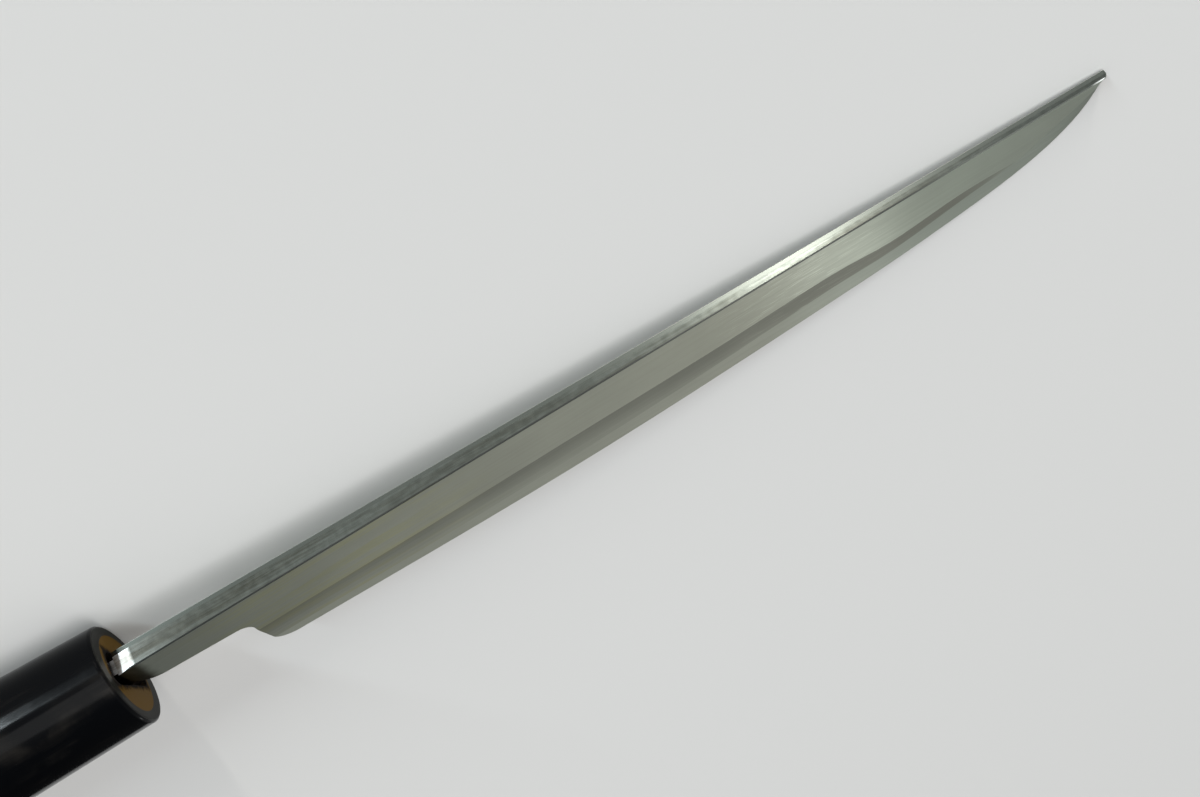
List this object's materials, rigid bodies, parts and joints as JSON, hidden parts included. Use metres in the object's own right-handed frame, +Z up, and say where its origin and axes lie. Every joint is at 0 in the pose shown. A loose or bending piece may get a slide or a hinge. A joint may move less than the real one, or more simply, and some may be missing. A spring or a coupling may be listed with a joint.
{
  "type": "yanagiba knife",
  "caption": "Long single-bevel slicing knife with a hollow-ground back, a narrow neck, a black horn ferrule and an oval wooden handle.",
  "frame": {"origin": "centre of the bounding box on the ground, with the knife lying on its back side", "axes": "+X towards the tip, +Y towards the spine, +Z up, out of the bevelled side"},
  "size_m": [0.3788, 0.041, 0.0289],
  "materials": {
    "soft_iron": "satin, brushed lengthwise",
    "hard_steel": "fine satin",
    "horn": "polished black horn",
    "light_wood": "plain sanded wood"
  },
  "bodies": {
    "root": {"blade_cladding": "soft_iron", "blade_edge_steel": "hard_steel", "ferrule": "horn", "handle": "light_wood"}
  },
  "joints": []
}
